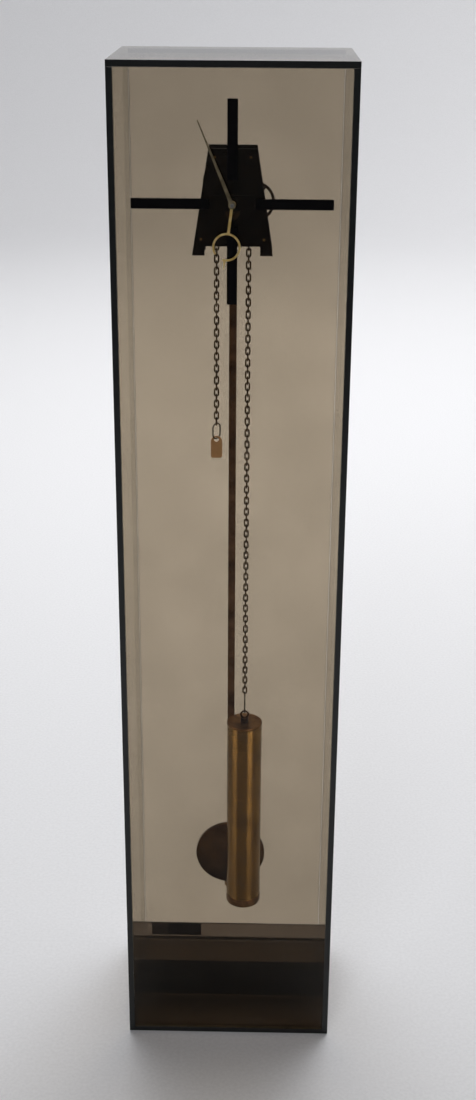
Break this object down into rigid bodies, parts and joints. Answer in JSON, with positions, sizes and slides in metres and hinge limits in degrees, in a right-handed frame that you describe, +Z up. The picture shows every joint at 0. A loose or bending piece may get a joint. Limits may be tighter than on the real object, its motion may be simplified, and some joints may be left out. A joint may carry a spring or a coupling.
{
  "type": "grandfather clock",
  "caption": "Floor-standing clock in a tall smoked acrylic case, with bar hour marks, brass hands, a chain-hung cylinder weight and a long pendulum.",
  "frame": {"origin": "middle of the case's underside, on the floor", "axes": "+Z up, -Y towards the person who reads the dial, +X to that person's right"},
  "size_m": [0.3556, 0.2847, 1.67],
  "materials": {
    "smoked_acrylic": "polished cast acrylic sheet, bronze smoke tint",
    "dark_acrylic": "polished cast acrylic sheet, dark grey tint",
    "black_acrylic": "opaque black acrylic",
    "name_plate": "blank anodised plate",
    "bronzed_plate": "dark bronzed brass, satin",
    "wheel_brass": "aged cut brass",
    "hand_brass": "polished gilt brass",
    "bright_steel": "polished steel",
    "chain_bronze": "dark bronzed brass wire",
    "tag_copper": "worn copper-coloured brass",
    "weight_brass": "satin drawn brass tube",
    "dark_bronze": "dark bronze, satin",
    "rod_bronze": "dark bronze strip",
    "weight_iron": "cast"
  },
  "bodies": {
    "case": {"side_panel_left": "smoked_acrylic", "side_panel_right": "smoked_acrylic", "top_panel": "smoked_acrylic", "bottom_panel": "smoked_acrylic", "front_panel": "smoked_acrylic", "lower_front_panel": "dark_acrylic", "base_rail": "black_acrylic", "blank_name_plate": "name_plate", "hour_bars": "black_acrylic", "motion_bridge": "wheel_brass", "bridge_posts": "wheel_brass", "centre_bush": "wheel_brass", "centre_nut": "hand_brass", "minute_wheel_stud": "bright_steel", "front_plate": "bronzed_plate", "back_plate": "bronzed_plate", "plate_pillars": "bronzed_plate", "movement_screws": "bright_steel", "pendulum_cock": "bronzed_plate", "suspension_block": "bronzed_plate", "chain_over_sprocket": "chain_bronze"},
    "back_panel": {"back_panel": "smoked_acrylic"},
    "minute_arbor": {"centre_arbor": "bright_steel", "centre_wheel": "wheel_brass", "cannon_pinion": "wheel_brass", "minute_hand": "hand_brass", "hand_nut": "bright_steel"},
    "hour_pipe": {"hour_wheel": "wheel_brass", "hour_hand": "hand_brass"},
    "minute_wheel": {"minute_wheel": "wheel_brass"},
    "intermediate_arbor": {"intermediate_arbor": "bright_steel", "intermediate_wheel": "wheel_brass"},
    "great_arbor": {"great_arbor": "bright_steel", "great_wheel": "wheel_brass", "click_pin": "bright_steel"},
    "click": {"click": "bright_steel"},
    "sprocket": {"chain_sprocket": "wheel_brass", "ratchet_wheel": "bright_steel"},
    "third_arbor": {"third_arbor": "bright_steel", "third_wheel": "wheel_brass"},
    "escape_arbor": {"escape_arbor": "bright_steel", "escape_wheel": "wheel_brass"},
    "anchor": {"anchor_arbor": "bright_steel", "anchor": "bright_steel", "crutch": "bright_steel"},
    "pendulum": {"suspension_spring": "bright_steel", "suspension_hook": "dark_bronze", "pendulum_rod": "rod_bronze"},
    "bob": {"pendulum_bob": "dark_bronze"},
    "rating_nut": {"rating_nut": "dark_bronze"},
    "weight": {"weight_tube": "weight_brass", "weight_top_cap": "dark_bronze", "weight_bottom_cap": "dark_bronze", "weight_core": "weight_iron", "weight_eye": "dark_bronze", "chain_hook": "chain_bronze", "chain_weight_side": "chain_bronze"},
    "pull_end": {"pull_ring": "chain_bronze", "pull_tag": "tag_copper", "chain_pull_side": "chain_bronze"}
  },
  "joints": [
    {"name": "minute_arbor_turn", "type": "hinge", "parent": "case", "child": "minute_arbor", "pos_m": [0, -0.09385, 1.474], "axis": [0, 1, 0], "continuous": true},
    {"name": "hour_pipe_turn", "type": "hinge", "parent": "case", "child": "hour_pipe", "pos_m": [0, -0.09385, 1.474], "axis": [0, 1, 0], "continuous": true},
    {"name": "minute_wheel_turn", "type": "hinge", "parent": "case", "child": "minute_wheel", "pos_m": [0, -0.09385, 1.4596], "axis": [0, 1, 0], "continuous": true},
    {"name": "intermediate_arbor_turn", "type": "hinge", "parent": "case", "child": "intermediate_arbor", "pos_m": [0.032, -0.09385, 1.46893], "axis": [0, 1, 0], "continuous": true},
    {"name": "great_arbor_turn", "type": "hinge", "parent": "case", "child": "great_arbor", "pos_m": [0, -0.09385, 1.43815], "axis": [0, 1, 0], "continuous": true},
    {"name": "third_arbor_turn", "type": "hinge", "parent": "case", "child": "third_arbor", "pos_m": [-0.0225, -0.09385, 1.4983], "axis": [0, 1, 0], "continuous": true},
    {"name": "escape_arbor_turn", "type": "hinge", "parent": "case", "child": "escape_arbor", "pos_m": [0, -0.09385, 1.50965], "axis": [0, 1, 0], "continuous": true},
    {"name": "click_lift", "type": "hinge", "parent": "great_arbor", "child": "click", "pos_m": [0.022, -0.09385, 1.43815], "axis": [0, 1, 0], "range_deg": [0, 12], "stiffness_Nm_per_rad": 0.002},
    {"name": "sprocket_turn", "type": "hinge", "parent": "case", "child": "sprocket", "pos_m": [0, -0.09385, 1.43815], "axis": [0, 1, 0], "range_deg": [-1600, 540]},
    {"name": "pendulum_swing", "type": "hinge", "parent": "case", "child": "pendulum", "pos_m": [0, -0.04535, 1.53085], "axis": [0, 1, 0], "range_deg": [-3, 3]},
    {"name": "anchor_rock", "type": "hinge", "parent": "case", "child": "anchor", "pos_m": [0, -0.09385, 1.53085], "axis": [0, 1, 0], "range_deg": [-3, 3]},
    {"name": "bob_height", "type": "slide", "parent": "pendulum", "child": "bob", "axis": [0, 0, 1], "range_m": [-0.004, 0.004]},
    {"name": "rating_nut_turn", "type": "hinge", "parent": "bob", "child": "rating_nut", "pos_m": [0, -0.04535, 0.26], "axis": [0, 0, 1], "range_deg": [-2060, 2060]},
    {"name": "weight_travel", "type": "slide", "parent": "case", "child": "weight", "axis": [0, 0, 1], "range_m": [-0.22, 0.66], "deforming": ["chain_weight_side"]},
    {"name": "pull_travel", "type": "slide", "parent": "case", "child": "pull_end", "axis": [0, 0, 1], "range_m": [-0.66, 0.22], "deforming": ["chain_pull_side"]},
    {"name": "back_panel_lift", "type": "slide", "parent": "case", "child": "back_panel", "axis": [0, 0, 1], "range_m": [0, 0.0026]}
  ],
  "couplings": [
    {"joint": "hour_pipe_turn", "follows": "minute_arbor_turn", "ratio": 0.083333},
    {"joint": "minute_wheel_turn", "follows": "minute_arbor_turn", "ratio": -0.33333},
    {"joint": "intermediate_arbor_turn", "follows": "minute_arbor_turn", "ratio": -0.097561},
    {"joint": "great_arbor_turn", "follows": "minute_arbor_turn", "ratio": 0.034503},
    {"joint": "third_arbor_turn", "follows": "minute_arbor_turn", "ratio": -8},
    {"joint": "escape_arbor_turn", "follows": "minute_arbor_turn", "ratio": 55},
    {"joint": "anchor_rock", "follows": "pendulum_swing", "ratio": 1},
    {"joint": "sprocket_turn", "follows": "weight_travel", "rad_per_m": -42.226},
    {"joint": "pull_travel", "follows": "weight_travel", "ratio": -1},
    {"joint": "rating_nut_turn", "follows": "bob_height", "rad_per_m": 8976}
  ]
}
